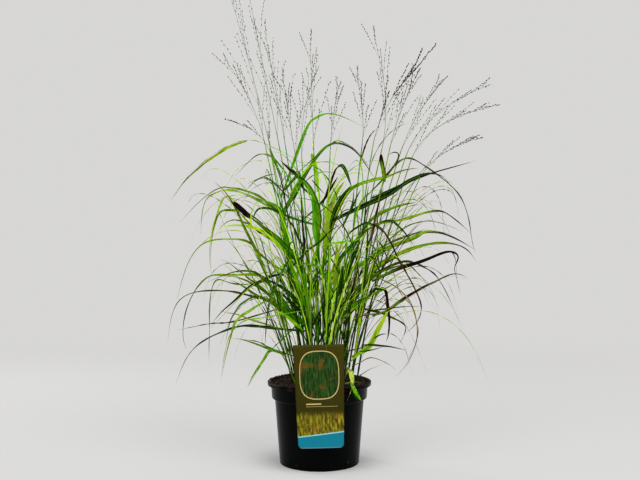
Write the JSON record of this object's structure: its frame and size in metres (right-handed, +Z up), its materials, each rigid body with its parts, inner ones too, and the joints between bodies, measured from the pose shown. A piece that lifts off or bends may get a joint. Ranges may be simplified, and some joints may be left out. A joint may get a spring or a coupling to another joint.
{
  "type": "potted switchgrass",
  "caption": "Ornamental switchgrass in flower: arching narrow blades on fanned culms under airy panicles, in a black nursery pot with a hanging card label",
  "frame": {"origin": "on the ground under the middle of the pot, in the flat middle of the pot's underside", "axes": "+Z up along the culms, -Y to the front where the label hangs, +X to the right of someone facing the label"},
  "size_m": [0.623, 0.4905, 0.863],
  "materials": {
    "pot_plastic": "satin",
    "compost": "matte",
    "label_card": "satin",
    "leaf": "satin",
    "flower_head": "matte"
  },
  "bodies": {
    "root": {"pot": "pot_plastic", "soil": "compost", "label": "label_card", "culm_01": "leaf", "culm_02": "leaf", "culm_03": "leaf", "culm_04": "leaf", "culm_05": "leaf", "culm_06": "leaf", "culm_07": "leaf", "culm_08": "leaf", "culm_09": "leaf", "culm_10": "leaf", "culm_11": "leaf", "culm_12": "leaf", "culm_13": "leaf", "culm_14": "leaf", "culm_15": "leaf", "culm_16": "leaf", "culm_17": "leaf", "culm_18": "leaf", "culm_19": "leaf", "culm_20": "leaf", "culm_21": "leaf", "culm_22": "leaf", "culm_23": "leaf", "culm_24": "leaf", "culm_25": "leaf", "culm_26": "leaf", "culm_27": "leaf", "culm_28": "leaf", "culm_29": "leaf", "culm_30": "leaf", "culm_31": "leaf", "culm_32": "leaf", "culm_33": "leaf", "culm_34": "leaf", "culm_35": "leaf", "culm_36": "leaf", "culm_37": "leaf", "culm_38": "leaf", "panicle_01": "flower_head", "panicle_02": "flower_head", "panicle_03": "flower_head", "panicle_04": "flower_head", "panicle_05": "flower_head", "panicle_06": "flower_head", "panicle_07": "flower_head", "panicle_08": "flower_head", "panicle_09": "flower_head", "panicle_10": "flower_head", "panicle_11": "flower_head", "panicle_12": "flower_head", "panicle_13": "flower_head", "panicle_14": "flower_head", "panicle_15": "flower_head", "panicle_16": "flower_head", "panicle_17": "flower_head"}
  },
  "joints": []
}
